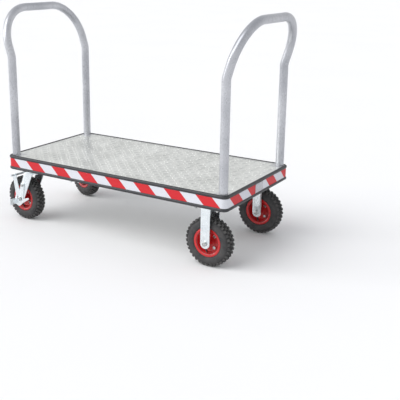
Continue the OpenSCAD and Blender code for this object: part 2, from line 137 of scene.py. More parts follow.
def embossed(material, *layers):
    """Bump from (field, depth in metres) layers, one on the other."""
    tree = material.node_tree
    normal = None
    for field, depth in layers:
        made = wire(tree, "ShaderNodeBump", {"Height": field, "Distance": depth})
        if normal:
            tree.links.new(normal, made.inputs["Normal"])
        normal = made.outputs["Normal"]
    tree.links.new(normal, tree.nodes["Principled BSDF"].inputs["Normal"])


# ---- Floor, light and camera ----
# A pale seamless studio floor, a broad key light from the front left, a low side light and a white
# surround that greys overhead. The camera stands in front of the near right corner and looks slightly
# down.

def sun(name, place, strength, spread):
    """A sun lamp shining from place towards the truck; spread is its apparent size in degrees."""
    data = bpy.data.lights.new(name, "SUN")
    data.energy, data.angle = strength, math.radians(spread)
    lamp = in_scene(name, data)
    lamp.visible_camera = False
    way = lit_point - Vector(place)
    lamp.matrix_world = Matrix.Translation(place) @ way.to_track_quat("-Z", "Y").to_matrix().to_4x4()


floor_radius = 90.0
disc = bmesh.new()
bmesh.ops.create_circle(disc, cap_ends=True, segments=96, radius=floor_radius)
floor_mesh = bpy.data.meshes.new("floor")
disc.to_mesh(floor_mesh)
disc.free()
floor = in_scene("floor", floor_mesh)
floor_paint = finish("pale_floor", (0.89, 0.89, 0.89), 0.9, Specular_IOR_Level=0.1)
tinted(floor_paint, grain(floor_paint, 0.8, detail=2), (0.885, 0.885, 0.886), (0.895, 0.895, 0.895))
set_material(floor, floor_paint)

lit_point = Vector((0, 0, 0.3))
sun("key", (-2.6, -4.0, 5.2), strength=1.65, spread=50)
sun("side", (-4.4, -2.4, 1.4), strength=0.75, spread=26)

world = bpy.data.worlds.new("studio")
scene.world = world
world.use_nodes = True
sky = world.node_tree
height = wire(sky, "ShaderNodeSeparateXYZ",
              {"Vector": wire(sky, "ShaderNodeTexCoord").outputs["Generated"]})
shade = wire(sky, "ShaderNodeValToRGB", {"Fac": height.outputs["Z"]})
near_ground, overhead = shade.color_ramp.elements
near_ground.position, near_ground.color = 0.05, (0.99, 0.99, 0.99, 1)
overhead.position, overhead.color = 0.75, (0.62, 0.63, 0.66, 1)
sky.links.new(shade.outputs["Color"], sky.nodes["Background"].inputs["Color"])
scene.view_settings.view_transform = "Standard"

yaw, pitch, roll = math.radians(32.331), math.radians(15.344), math.radians(0.473)
truck_middle = Vector((0, 0, 0.5))
shift_right, shift_up, distance = 0.1408, -0.1809, 3.514
focal_mm, sensor_mm = 66.725, 36
back = Vector((math.sin(yaw) * math.cos(pitch), -math.cos(yaw) * math.cos(pitch), math.sin(pitch)))
level = Vector((math.cos(yaw), math.sin(yaw), 0))
upright = back.cross(level)
right = level * math.cos(roll) + upright * math.sin(roll)
up = upright * math.cos(roll) - level * math.sin(roll)
eye = truck_middle + right * shift_right + up * shift_up + back * distance
lens = bpy.data.cameras.new("camera")
lens.lens, lens.sensor_width, lens.shift_x, lens.shift_y = focal_mm, sensor_mm, 0.0625, -0.0875
camera = in_scene("camera", lens)
camera.matrix_world = Matrix.Translation(eye) @ Matrix((right, up, back)).transposed().to_4x4()
scene.camera = camera


# ---- Tread plate ----
# Rolled 3 mm aluminium plate with raised bars, laid crosswise by turns, notched at its corners for the
# castings. The mill finish is satin and a little mottled, and wear has brightened the tops of the bars.

def satin(name, dark, bright, rough, stretch=(1, 1, 1), scale=60.0, depth=0.00004):
    """Bare metal with a drawn or rolled surface: soft blotches, fine lines and a faint relief."""
    made = finish(name, bright, rough, 1.0)
    blotch = grain(made, scale * 0.12, detail=5)
    lines = grain(made, scale * 10, stretch, 3, seed=3.1)
    tinted(made, blotch, dark, bright)
    polished(made, lines, rough * 0.82, rough * 1.2)
    embossed(made, (lines, depth), (grain(made, scale, detail=6, seed=7.7), depth * 2))
    return made


plate_metal = satin("tread_aluminium", (0.72, 0.73, 0.70), (0.84, 0.85, 0.82), 0.37, (1, 0.12, 1), 50)
plate = frame["nodes"]["tread_plate"]
set_material(plate, plate_metal)

bar_tree = bpy.data.node_groups.new("raised_bars", "GeometryNodeTree")


def sockets(tree, *wanted):
    """Names a tree's inputs and gives it its geometry output."""
    for name, kind in wanted:
        tree.interface.new_socket(name, in_out="INPUT", socket_type="NodeSocket" + kind)
    tree.interface.new_socket("Geometry", in_out="OUTPUT", socket_type="NodeSocketGeometry")
    return wire(tree, "NodeGroupInput").outputs, wire(tree, "NodeGroupOutput")


def sums(tree, operation, a, b=0.0):
    """One arithmetic node's result."""
    return wire(tree, "ShaderNodeMath", {0: a, 1: b}, operation=operation).outputs[0]


def grown(name, tree, **sizes):
    """Runs a tree with its named inputs set and keeps the result as a plain mesh object."""
    host = in_scene(name, bpy.data.meshes.new(name))
    modifier = host.modifiers.new(name, "NODES")
    modifier.node_group = tree
    for item in tree.interface.items_tree:
        if item.in_out == "INPUT":
            modifier[item.identifier] = sizes[item.name.replace(" ", "_")]
    depsgraph = bpy.context.evaluated_depsgraph_get()
    depsgraph.update()
    mesh = bpy.data.meshes.new_from_object(host.evaluated_get(depsgraph))
    host.modifiers.remove(modifier)
    host.data = mesh
    return host


def end_tree(tree, out, geometry, material):
    """Instances made real, smooth and given their material."""
    real = wire(tree, "GeometryNodeRealizeInstances", {"Geometry": geometry})
    smooth = wire(tree, "GeometryNodeSetShadeSmooth", {"Geometry": real.outputs[0]})
    painted = wire(tree, "GeometryNodeSetMaterial",
                   {"Geometry": smooth.outputs[0], "Material": material})
    tree.links.new(painted.outputs[0], out.inputs[0])


given, bar_out = sockets(bar_tree, ("Columns", "Int"), ("Rows", "Int"), ("Pitch", "Float"),
                         ("Bar length", "Float"), ("Bar width", "Float"), ("Bar height", "Float"),
                         ("Top", "Float"), ("Notch x", "Float"), ("Notch y", "Float"),
                         ("Material", "Material"))
t = bar_tree
grid = wire(t, "GeometryNodeMeshGrid", {
    "Size X": sums(t, "MULTIPLY", given["Pitch"], sums(t, "SUBTRACT", given["Columns"], 1.0)),
    "Size Y": sums(t, "MULTIPLY", given["Pitch"], sums(t, "SUBTRACT", given["Rows"], 1.0)),
    "Vertices X": given["Columns"], "Vertices Y": given["Rows"]})
spot = wire(t, "ShaderNodeSeparateXYZ", {"Vector": wire(t, "GeometryNodeInputPosition").outputs[0]})
in_notch = sums(t, "MULTIPLY",
                sums(t, "GREATER_THAN", sums(t, "ABSOLUTE", spot.outputs["X"]), given["Notch x"]),
                sums(t, "GREATER_THAN", sums(t, "ABSOLUTE", spot.outputs["Y"]), given["Notch y"]))
kept = wire(t, "GeometryNodeDeleteGeometry",
            {"Geometry": grid.outputs["Mesh"], "Selection": in_notch}, domain="POINT")
column = sums(t, "FLOOR", sums(t, "DIVIDE", spot.outputs["X"], given["Pitch"]))
row = sums(t, "FLOOR", sums(t, "DIVIDE", spot.outputs["Y"], given["Pitch"]))
crosswise = sums(t, "FLOORED_MODULO", sums(t, "ADD", column, row), 2.0)
angle = sums(t, "ADD", sums(t, "MULTIPLY", crosswise, math.pi / 2), math.pi / 4)
bar = wire(t, "GeometryNodeMeshUVSphere", {"Segments": 12, "Rings": 6, "Radius": 0.5})
bar_size = wire(t, "ShaderNodeCombineXYZ", {"X": given["Bar length"], "Y": given["Bar width"],
                                            "Z": sums(t, "MULTIPLY", given["Bar height"], 2.0)})
turn_bar = wire(t, "ShaderNodeCombineXYZ", {"Z": angle})
laid = wire(t, "GeometryNodeInstanceOnPoints", {
    "Points": kept.outputs[0], "Instance": bar.outputs["Mesh"],
    "Rotation": turn_bar.outputs[0], "Scale": bar_size.outputs[0]})
raised = wire(t, "GeometryNodeTransform", {
    "Geometry": laid.outputs[0],
    "Translation": wire(t, "ShaderNodeCombineXYZ", {"Z": given["Top"]}).outputs[0]})
end_tree(t, bar_out, raised.outputs[0], given["Material"])

bar_metal = satin("tread_bar_aluminium", (0.70, 0.71, 0.68), (0.88, 0.89, 0.86), 0.30, (1, 0.2, 1), 50)
plate_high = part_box("tread_plate")[1]
bar_pitch, corner_notch = 0.030, 0.072
bars = grown("tread_bars", bar_tree, Columns=39, Rows=19, Pitch=bar_pitch, Bar_length=0.027,
             Bar_width=0.0095, Bar_height=0.0019, Top=plate_high.z,
             Notch_x=plate_high.x - corner_notch, Notch_y=plate_high.y - corner_notch,
             Material=bar_metal)
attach(bars, "deck")


# ---- Under-frame ----
# Square extruded rails and cross members, welded into a ladder, with a weld pad over each caster and a
# cast block with a blind socket at each corner. The castings' edges are eased as cast stock is.

def eased(node, width, sharp=30):
    """A copy of a CAD node's shape with edges sharper than sharp degrees rounded, as a new piece."""
    source = frame["nodes"][node]
    shape = bmesh.new()
    shape.from_mesh(source.data)
    bmesh.ops.remove_doubles(shape, verts=shape.verts, dist=1e-6)
    bmesh.ops.dissolve_limit(shape, angle_limit=math.radians(0.5), verts=shape.verts, edges=shape.edges)
    edges = [e for e in shape.edges if len(e.link_faces) == 2
             and e.calc_face_angle(0) > math.radians(sharp)]
    bmesh.ops.bevel(shape, geom=edges, offset=width, segments=2, profile=0.5,
                    affect="EDGES", clamp_overlap=True)
    bmesh.ops.triangulate(shape, faces=[f for f in shape.faces if len(f.verts) > 4])
    return in_scene(node + "_eased", meshed(node + "_eased", shape))


def fitted(piece, body, slot, material, *nodes):
    """A finished piece: its material, body and the CAD nodes that it stands for; slot, the record's
    slot, is not used.
    """
    set_material(piece, material)
    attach(piece, body)
    if nodes:
        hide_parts(*nodes)


extruded = satin("extruded_aluminium", (0.58, 0.59, 0.60), (0.74, 0.75, 0.76), 0.42, (0.1, 0.1, 1), 40)
for name in ("side_rails", "end_rails", "cross_members", "caster_pads"):
    set_material(frame["nodes"][name], extruded)
cast = finish("cast_aluminium", (0.72, 0.73, 0.73), 0.48, 1.0)
tinted(cast, grain(cast, 40, detail=6), (0.62, 0.63, 0.63), (0.78, 0.78, 0.78))
polished(cast, grain(cast, 300, seed=2.0), 0.38, 0.58)
embossed(cast, (grain(cast, 900, detail=3, seed=5.0), 0.00015))
fitted(eased("corner_castings", 0.0008), "deck", "cast_aluminium", cast, "corner_castings")

weld_tree = bpy.data.node_groups.new("weld_beads", "GeometryNodeTree")
given, weld_out = sockets(weld_tree, ("Start", "Vector"), ("End", "Vector"), ("Ripples", "Int"),
                          ("Bead", "Float"), ("Seed", "Int"), ("Material", "Material"))
t = weld_tree
run = wire(t, "GeometryNodeCurvePrimitiveLine", {"Start": given["Start"], "End": given["End"]})
spaced = wire(t, "GeometryNodeCurveToPoints", {"Curve": run.outputs[0], "Count": given["Ripples"]})
ripple = wire(t, "GeometryNodeMeshUVSphere", {"Segments": 8, "Rings": 6, "Radius": given["Bead"]})
smallest, largest = 0.85, 1.15
uneven = wire(t, "FunctionNodeRandomValue", {2: smallest, 3: largest, "Seed": given["Seed"]},
              data_type="FLOAT")
beads = wire(t, "GeometryNodeInstanceOnPoints", {"Points": spaced.outputs["Points"],
                                                 "Instance": ripple.outputs["Mesh"],
                                                 "Scale": uneven.outputs[1]})
end_tree(t, weld_out, beads.outputs[0], given["Material"])


def joined(name, parts):
    """Several plain mesh objects as one; the separate ones go."""
    shape = bmesh.new()
    for part in parts:
        shape.from_mesh(part.data)
    mesh = bpy.data.meshes.new(name)
    shape.to_mesh(mesh)
    shape.free()
    for part in parts:
        bpy.data.objects.remove(part)
    return in_scene(name, mesh)


weld_metal = satin("weld_aluminium", (0.60, 0.60, 0.61), (0.78, 0.78, 0.78), 0.36, (1, 1, 1), 120)
rails_low, rails_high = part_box("side_rails")
members_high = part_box("cross_members")[1]
rail_in = members_high.y                               # the members end at the side rails' inner face
member_width, truck_l = 0.025, 1.219
swivel_x, rigid_x, beside_pad = 0.506, 0.502, 0.045    # a member stands beside each caster's middle
outer_member = members_high.x - member_width / 2


def weld(start, end, ripples, bead, seed):
    """A row of overlapping weld ripples from start to end."""
    return grown("weld", weld_tree, Start=start, End=end, Ripples=ripples, Bead=bead, Seed=seed,
                 Material=weld_metal)


welds = []
for index, x in enumerate((-outer_member, -swivel_x + beside_pad, -truck_l / 7, truck_l / 7,
                           rigid_x - beside_pad, outer_member)):
    for side in (-1, 1):
        for face in (-1, 1):
            edge_x = x + face * (member_width / 2 + 0.0006)
            edge_y = side * (rail_in - 0.0005)
            welds.append(weld((edge_x, edge_y, rails_low.z + 0.003),
                              (edge_x, edge_y, rails_high.z - 0.004),
                              ripples=22, bead=0.0022, seed=index * 4 + side + face))
        clear_of_pads = abs(x) < 0.3
        if clear_of_pads:
            under_y = side * (rail_in - 0.001)
            welds.append(weld((x - member_width / 2, under_y, rails_low.z),
                              (x + member_width / 2, under_y, rails_low.z),
                              ripples=11, bead=0.0018, seed=index + 60 + side))
fitted(joined("frame_welds", welds), "deck", "frame_aluminium", weld_metal)


# ---- Bumper, edge strip and reflective tape ----
# A vinyl extrusion with a round bead along its top and bottom, in two lengths that meet under a cover at
# each end of the deck. Red and white prismatic tape lies between the beads, its stripes slanted.

face_l, face_w, corner = 1.201, 0.592, 0.019          # the bumper's inner face
straight_l, straight_w = face_l - 2 * corner, face_w - 2 * corner
bumper_low, bumper_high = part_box("bumper_profile")
tape_low, tape_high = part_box("tape_white")
joint_gap, web = 0.0008, 0.005                         # between the two lengths; between the beads
corner_steps = 14


def rail_point(s, out, far):
    """Place on the deck's outline at s metres from the left joint, out metres outside the inner face."""
    half, arc = straight_w / 2, corner * math.pi / 2
    lengths = (half, arc, straight_l, arc, half)
    heading = Vector((0, -1, 0))
    place = Vector((-face_l / 2, 0, 0))
    for number, length in enumerate(lengths):
        bend = number in (1, 3)
        step = max(0.0, min(s, length) if number < 4 else s)
        if bend:
            centre = place + Vector((-heading.y, heading.x, 0)) * corner
            swing = Matrix.Rotation(step / corner, 3, "Z")
            place = centre + swing @ (place - centre)
            heading = swing @ heading
        else:
            place = place + heading * step
        s -= length
        if s <= 0:
            break
    place = place + Vector((heading.y, -heading.x, 0)) * out
    return Vector((-place.x, -place.y, 0)) if far else place


half_round = straight_w + straight_l + corner * math.pi      # from the left joint to the right joint


def stations(start, end, step=0.06):
    """Distances along the outline, closer together round its corners."""
    arc = corner * math.pi / 2
    marks = [start, end]
    for a in (straight_w / 2, straight_w / 2 + arc + straight_l):
        marks += [a + arc * k / corner_steps for k in range(corner_steps + 1)]
    count = max(2, round((end - start) / step))
    marks += [start + (end - start) * k / count for k in range(count + 1)]
    marks = sorted(m for m in marks if start <= m <= end)
    return [m for k, m in enumerate(marks) if k == 0 or m - marks[k - 1] > 1e-5]


def map_lengths(shape, uv, where):
    """UVs in metres: each vertex's distance along the outline and its height."""
    for f in shape.faces:
        for loop in f.loops:
            loop[uv].uv = where[loop.vert]


def along_outline(name, profile, far):
    """Sweeps a closed profile of (out, z) corners from one joint to the other, ends capped."""
    shape = bmesh.new()
    uv = shape.loops.layers.uv.new("length_and_height")
    rings = []
    where = {}
    for s in stations(joint_gap / 2, half_round - joint_gap / 2):
        ring = []
        for out, z in profile:
            vert = shape.verts.new(rail_point(s, out, far) + Vector((0, 0, z)))
            where[vert] = (s, z)
            ring.append(vert)
        rings.append(ring)
    count = len(profile)
    for a, b in zip(rings, rings[1:]):
        for k in range(count):
            shape.faces.new((a[k], b[k], b[(k + 1) % count], a[(k + 1) % count]))
    shape.faces.new(rings[0])
    shape.faces.new(list(reversed(rings[-1])))
    bmesh.ops.recalc_face_normals(shape, faces=shape.faces)
    map_lengths(shape, uv, where)
    return in_scene(name, meshed(name, shape))


bead_r, bumper_t = 0.008, 0.009
bead_sides = 22
reach = bumper_t - bead_r                              # from the inner face to a bead's centre
back_angle, web_angle = math.acos(-reach / bead_r), math.acos((web - reach) / bead_r)
profile = []
for centre_z, begin, stop in ((bumper_low.z + bead_r, -back_angle, web_angle),
                              (bumper_high.z - bead_r, -web_angle, back_angle)):
    for k in range(bead_sides + 1):
        a = begin + (stop - begin) * k / bead_sides
        profile.append((reach + bead_r * math.cos(a), centre_z + bead_r * math.sin(a)))
vinyl = finish("bumper_vinyl", (0.024, 0.025, 0.029), 0.50)
tinted(vinyl, grain(vinyl, 30, detail=6), (0.019, 0.020, 0.024), (0.030, 0.031, 0.036))
polished(vinyl, grain(vinyl, 220, detail=4, seed=1.3), 0.34, 0.52)
embossed(vinyl, (grain(vinyl, 900, detail=2, seed=4.0), 0.00006),
         (grain(vinyl, 60, seed=9.0), 0.0002))
for far, name in ((False, "bumper_near"), (True, "bumper_far")):
    fitted(along_outline(name, profile, far), "deck", "bumper_vinyl", vinyl, "bumper_profile")

strip_metal = satin("edge_strip_aluminium", (0.80, 0.81, 0.82), (0.90, 0.91, 0.92), 0.22, (1, 1, 8), 80)
set_material(frame["nodes"]["edge_strip"], strip_metal)


def prismatic(name, colour, dark):
    """Retroreflective film: a worn satin face over a fine lattice of prism cells."""
    cell = 0.0042
    made = finish(name, colour, 0.45, Specular_IOR_Level=0.25)
    tree = made.node_tree
    flat = wire(tree, "ShaderNodeSeparateXYZ",
                {"Vector": wire(tree, "ShaderNodeTexCoord").outputs["UV"]})
    cells = []
    for sign in (1.0, -1.0):
        slope = sums(tree, "ADD", flat.outputs["X"], sums(tree, "MULTIPLY", flat.outputs["Y"], sign))
        wave = sums(tree, "SINE", sums(tree, "MULTIPLY", slope, math.pi / cell))
        cells.append(sums(tree, "ABSOLUTE", wave))
    lattice = sums(tree, "MINIMUM", cells[0], cells[1])
    seam = sums(tree, "POWER", lattice, 0.35)
    dirt = grain(made, 45, detail=6)
    mixed = sums(tree, "MULTIPLY", seam, sums(tree, "ADD", 0.86, sums(tree, "MULTIPLY", dirt, 0.28)))
    tinted(made, mixed, dark, colour, 0.35, 0.85)
    embossed(made, (lattice, 0.00006))
    return made


tape_t, print_t = 0.0004, 0.0002
tape_face = web + tape_t
white_film = prismatic("white_film", (0.66, 0.67, 0.72), (0.54, 0.55, 0.60))
red_film = prismatic("red_film", (0.60, 0.026, 0.034), (0.46, 0.014, 0.020))
white_profile = [(web, tape_low.z), (tape_face, tape_low.z),
                 (tape_face, tape_high.z), (web, tape_high.z)]
for far, name in ((False, "white_tape_near"), (True, "white_tape_far")):
    fitted(along_outline(name, white_profile, far), "deck", "tape_white", white_film, "tape_white")

stripe, slant = 0.079, tape_high.z - tape_low.z
stripe_rows, stripe_columns = 10, 20
least_volume, least_faces = 1e-9, 8                    # below these nothing is left of a stripe


def red_stripe(top, far):
    """One slanted stripe whose top edge starts at top metres: a thin closed sheet, cut at the joints."""
    shape = bmesh.new()
    uv = shape.loops.layers.uv.new("length_and_height")
    where = {}
    sheet = []
    for layer in (tape_face + print_t, tape_face):
        table = []
        for row in range(stripe_rows + 1):
            z = tape_low.z + slant * row / stripe_rows
            across = []
            for column in range(stripe_columns + 1):
                s = top + stripe * column / stripe_columns + (tape_high.z - z)
                s = min(max(s, joint_gap / 2), half_round - joint_gap / 2)
                vert = shape.verts.new(rail_point(s, layer, far) + Vector((0, 0, z)))
                where[vert] = (s, z)
                across.append(vert)
            table.append(across)
        sheet.append(table)
    front, rear = sheet
    for i in range(stripe_rows):
        for k in range(stripe_columns):
            shape.faces.new((front[i][k], front[i][k + 1], front[i + 1][k + 1], front[i + 1][k]))
            shape.faces.new((rear[i][k], rear[i + 1][k], rear[i + 1][k + 1], rear[i][k + 1]))
        for k, flip in ((0, True), (-1, False)):
            quad = (front[i][k], rear[i][k], rear[i + 1][k], front[i + 1][k])
            shape.faces.new(tuple(reversed(quad)) if flip else quad)
    for k in range(stripe_columns):
        for i, flip in ((0, False), (-1, True)):
            quad = (front[i][k], rear[i][k], rear[i][k + 1], front[i][k + 1])
            shape.faces.new(tuple(reversed(quad)) if flip else quad)
    map_lengths(shape, uv, where)
    bmesh.ops.remove_doubles(shape, verts=shape.verts, dist=2e-6)
    bmesh.ops.dissolve_degenerate(shape, dist=1e-7, edges=shape.edges)
    bmesh.ops.recalc_face_normals(shape, faces=shape.faces)
    volume = shape.calc_volume(signed=True)
    if volume < 0:
        bmesh.ops.reverse_faces(shape, faces=shape.faces)
    mesh = meshed("stripe", shape)
    if len(mesh.polygons) > least_faces and abs(volume) > least_volume:
        return in_scene("stripe", mesh)
    return None


near_first = straight_w / 2 + corner * math.pi / 2 + 0.094
far_first = 0.066
for far, first, name in ((False, near_first, "red_stripes_near"), (True, far_first, "red_stripes_far")):
    stripes = []
    number = math.floor(-first / (2 * stripe)) - 1
    while first + 2 * stripe * number < half_round:
        part = red_stripe(first + 2 * stripe * number, far)
        if part:
            stripes.append(part)
        number += 1
    red = joined(name, stripes)
    soften(red.data)
    fitted(red, "deck", "tape_red", red_film, "tape_red")

cover_film = finish("joint_cover_film", (0.46, 0.46, 0.50), 0.34, 0.4, Coat_Weight=0.2)
tinted(cover_film, grain(cover_film, 120, detail=5), (0.38, 0.38, 0.42), (0.52, 0.52, 0.56))
embossed(cover_film, (grain(cover_film, 70, seed=2.0), 0.0004))
fitted(eased("joint_covers", 0.0005), "deck", "cover_grey", cover_film, "joint_covers")


# ---- Handles ----
# 38.1 mm aluminium tube bent to a bow, its legs leaning outward above the deck. The legs drop into the
# corner sockets. The tube is satin from drawing, a little blotched, with fine lines along it.

tube_r, tube_wall, tube_sides = 0.01905, 0.0025, 40
handle_low, handle_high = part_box("right_handle")
leg_x, leg_y, leg_bottom = handle_low.x + tube_r, handle_high.y - tube_r, handle_low.z
bend_z, lean = plate_high.z + 0.477, math.radians(17.6)
lean_r, rise, bow_r = 0.070, 0.054, 0.178
bend_in = lean_r * math.tan(lean / 2)
leg_steps, lean_steps, bow_steps = 12, 10, 32


def handle_line():
    """Centre line of the right-hand handle, from one leg's foot to the other's."""
    low, high = leg_bottom, bend_z - bend_in
    points = [Vector((leg_x, -leg_y, low + (high - low) * k / leg_steps)) for k in range(leg_steps)]
    for k in range(lean_steps + 1):
        a = lean * k / lean_steps
        points.append(Vector((leg_x + lean_r * (1 - math.cos(a)), -leg_y, high + lean_r * math.sin(a))))
    tilt = Matrix.Rotation(lean, 3, "Y")
    foot = Vector((leg_x, 0, bend_z))
    for k in range(bow_steps + 1):
        a = math.pi / 2 * k / bow_steps
        flat = Vector((0, -leg_y + bow_r * (1 - math.cos(a)), rise + bow_r * math.sin(a)))
        points.append(foot + tilt @ flat)
    return points + [Vector((p.x, -p.y, p.z)) for p in reversed(points)]


def tube(name, line, outer, inner):
    """A round tube along a line of points, open inside, with square-cut ends."""
    shape = bmesh.new()
    sides, last = tube_sides, len(line) - 1
    tangents = [(line[min(k + 1, last)] - line[max(k - 1, 0)]).normalized() for k in range(len(line))]
    normal = Vector((1, 0, 0))
    skins = {outer: [], inner: []}
    for point, way in zip(line, tangents):
        normal = (normal - way * normal.dot(way)).normalized()
        side = way.cross(normal)
        for radius, rings in skins.items():
            rings.append([shape.verts.new(point + (normal * math.cos(a) + side * math.sin(a)) * radius)
                          for a in (2 * math.pi * k / sides for k in range(sides))])
    for radius, rings in skins.items():
        for a, b in zip(rings, rings[1:]):
            for k in range(sides):
                quad = (a[k], a[(k + 1) % sides], b[(k + 1) % sides], b[k])
                shape.faces.new(quad if radius == outer else tuple(reversed(quad)))
    for end in (0, -1):
        for k in range(sides):
            a, b = skins[outer][end], skins[inner][end]
            quad = (a[k], b[k], b[(k + 1) % sides], a[(k + 1) % sides])
            shape.faces.new(quad if end == 0 else tuple(reversed(quad)))
    bmesh.ops.recalc_face_normals(shape, faces=shape.faces)
    return in_scene(name, meshed(name, shape, angle=40))


tube_metal = satin("handle_aluminium", (0.38, 0.39, 0.42), (0.52, 0.53, 0.56), 0.30, (1, 1, 0.08), 55)
tube_metal.node_tree.nodes["Principled BSDF"].inputs["Metallic"].default_value = 0.6
right_line = handle_line()
left_line = [Vector((-p.x, -p.y, p.z)) for p in right_line]
for side, line in (("right", right_line), ("left", left_line)):
    fitted(tube("handle_tube_" + side, line, tube_r, tube_r - tube_wall), side + "_handle",
           "handle_aluminium", tube_metal, side + "_handle")


# ---- Tyres ----
# Moulded rubber with a rounded carcass, a bead over each rim flange and rows of square knobs: two rows
# on the crown and a larger row on each shoulder, which gives the saw-toothed outline.

joint = {j["name"]: j for j in frame["joints"]}
rigid_casters, swivel_casters = ("rigid_near", "rigid_far"), ("swivel_near", "swivel_far")
casters = rigid_casters + swivel_casters


def wheel_place(caster):
    """From a wheel's own frame, with its axle along Y and its bolt heads at -Y, to the truck."""
    axis = Vector(joint[caster + "_spin"]["axis"]).normalized()
    turned = Matrix(((-axis.y, -axis.x, 0), (axis.x, -axis.y, 0), (0, 0, 1))).to_4x4()
    return Matrix.Translation(joint[caster + "_spin"]["pos_m"]) @ turned


def spun(name, *loops, steps=96):
    """Closed loops of (radius, y) corners carried round the axle."""
    shape = bmesh.new()
    for loop in loops:
        rings = []
        for s in range(steps):
            a = 2 * math.pi * s / steps
            rings.append([shape.verts.new((r * math.sin(a), y, r * math.cos(a))) for r, y in loop])
        for s in range(steps):
            one, two = rings[s], rings[(s + 1) % steps]
            for k in range(len(loop)):
                n = (k + 1) % len(loop)
                shape.faces.new((one[k], two[k], two[n], one[n]))
    bmesh.ops.recalc_face_normals(shape, faces=shape.faces)
    return meshed(name, shape, angle=38)


def rounded(corners, steps=5):
    """A loop of (x, y, radius) corners with each corner rounded."""
    out = []
    for k, (x, y, r) in enumerate(corners):
        here = Vector((x, y))
        before = Vector(corners[k - 1][:2]) - here
        after = Vector(corners[(k + 1) % len(corners)][:2]) - here
        if r <= 0:
            out.append((x, y))
            continue
        reach = min(r, before.length * 0.48, after.length * 0.48)
        a, b = here + before.normalized() * reach, here + after.normalized() * reach
        for step in range(steps + 1):
            t = step / steps
            out.append(tuple(a * (1 - t) ** 2 + here * 2 * t * (1 - t) + b * t * t))
    return out


def placed(name, mesh, caster):
    """A wheel-frame mesh put at one caster, as its own object."""
    made = mesh.copy()
    made.transform(wheel_place(caster))
    return in_scene(caster + "_" + name, made)


def mirrored(corners):
    """The other side of the wheel's middle plane, in the order that carries a loop on."""
    return [(r, -y, radius) for r, y, radius in reversed(corners)]


outside = [(0.0515, -0.0235, 0.001), (0.0655, -0.0240, 0.002), (0.0675, -0.0268, 0.002),
           (0.0700, -0.0286, 0.001), (0.0760, -0.0302, 0.004), (0.0860, -0.0302, 0.004),
           (0.0955, -0.0262, 0.005), (0.1008, -0.0185, 0.008)]
crown = [(0.1028, 0.0, 0.012)]
cavity = [(0.0515, 0.0172, 0.002), (0.0640, 0.0165, 0.006), (0.0740, 0.0215, 0.006),
          (0.0860, 0.0215, 0.006), (0.0970, 0.0125, 0.006)]
carcass = rounded(outside + crown + mirrored(outside) + cavity + mirrored(cavity), 4)
tyre_mesh = spun("tyre", carcass, steps=120)

knob_tree = bpy.data.node_groups.new("tyre_knobs", "GeometryNodeTree")
given, knob_out = sockets(knob_tree, ("Count", "Int"), ("Radius", "Float"), ("Offset", "Float"),
                          ("Phase", "Float"), ("Tilt", "Float"), ("Size", "Vector"),
                          ("Material", "Material"))
t = knob_tree
circle = wire(t, "GeometryNodeMeshCircle", {"Vertices": given["Count"], "Radius": given["Radius"]})
outward = wire(t, "GeometryNodeInputPosition").outputs[0]
stood = wire(t, "FunctionNodeAlignRotationToVector", {"Vector": outward}, axis="Z")
squared = wire(t, "FunctionNodeAlignRotationToVector",
               {"Rotation": stood.outputs[0], "Vector": (0, 0, 1)}, axis="Y", pivot_axis="Z")
tilted = wire(t, "FunctionNodeRotateRotation", {
    "Rotation": squared.outputs[0],
    "Rotate By": wire(t, "ShaderNodeCombineXYZ", {"X": given["Tilt"]}).outputs[0]},
    rotation_space="LOCAL")
block = wire(t, "GeometryNodeMeshCone", {"Vertices": 4, "Side Segments": 1, "Fill Segments": 1,
                                         "Radius Top": 0.56, "Radius Bottom": 0.72, "Depth": 1.0})
square = wire(t, "GeometryNodeTransform", {"Geometry": block.outputs["Mesh"],
                                           "Translation": (0, 0, -0.5),
                                           "Rotation": (0, 0, math.pi / 4)})
knobs = wire(t, "GeometryNodeInstanceOnPoints", {"Points": circle.outputs["Mesh"],
                                                 "Instance": square.outputs[0],
                                                 "Rotation": tilted.outputs[0], "Scale": given["Size"]})
on_axle = wire(t, "GeometryNodeTransform", {
    "Geometry": knobs.outputs[0],
    "Translation": wire(t, "ShaderNodeCombineXYZ", {"Z": given["Offset"]}).outputs[0],
    "Rotation": wire(t, "ShaderNodeCombineXYZ", {"Z": given["Phase"]}).outputs[0]})
end_tree(t, knob_out, on_axle.outputs[0], given["Material"])

rubber = finish("tyre_rubber", (0.045, 0.045, 0.047), 0.72, Specular_IOR_Level=0.35)
tinted(rubber, grain(rubber, 35, detail=7), (0.036, 0.036, 0.038), (0.062, 0.060, 0.060))
polished(rubber, grain(rubber, 160, detail=5, seed=3.0), 0.6, 0.85)
embossed(rubber, (grain(rubber, 700, detail=3, seed=6.0), 0.0002))
knob_count = 34
knob_step = 2 * math.pi / knob_count
crown_knob, shoulder_knob = (0.0115, 0.0100, 0.0090), (0.0120, 0.0100, 0.0110)
knob_rows = [
    # radius, offset along the axle, phase, tilt, size (round, across, high)
    (0.1050, 0.0062, 0.0, 0.10, crown_knob),
    (0.1050, -0.0062, knob_step / 2, -0.10, crown_knob),
    (0.1018, 0.0192, knob_step / 2, 0.62, shoulder_knob),
    (0.1018, -0.0192, 0.0, -0.62, shoulder_knob),
]
knob_rubber = finish("knob_rubber", (0.07, 0.07, 0.07), 0.8, Specular_IOR_Level=0.3)
tinted(knob_rubber, grain(knob_rubber, 60, detail=7), (0.052, 0.052, 0.053), (0.095, 0.093, 0.091))
embossed(knob_rubber, (grain(knob_rubber, 700, detail=3, seed=6.0), 0.0002))
knob_parts = [grown("knobs", knob_tree, Count=knob_count, Radius=radius, Offset=offset, Phase=phase,
                    Tilt=tilt, Size=size, Material=knob_rubber)
              for radius, offset, phase, tilt, size in knob_rows]
knob_object = joined("knobs", knob_parts)
knob_mesh = knob_object.data
knob_mesh.transform(Matrix.Rotation(math.pi / 2, 4, "X"))
soften(knob_mesh, 25)
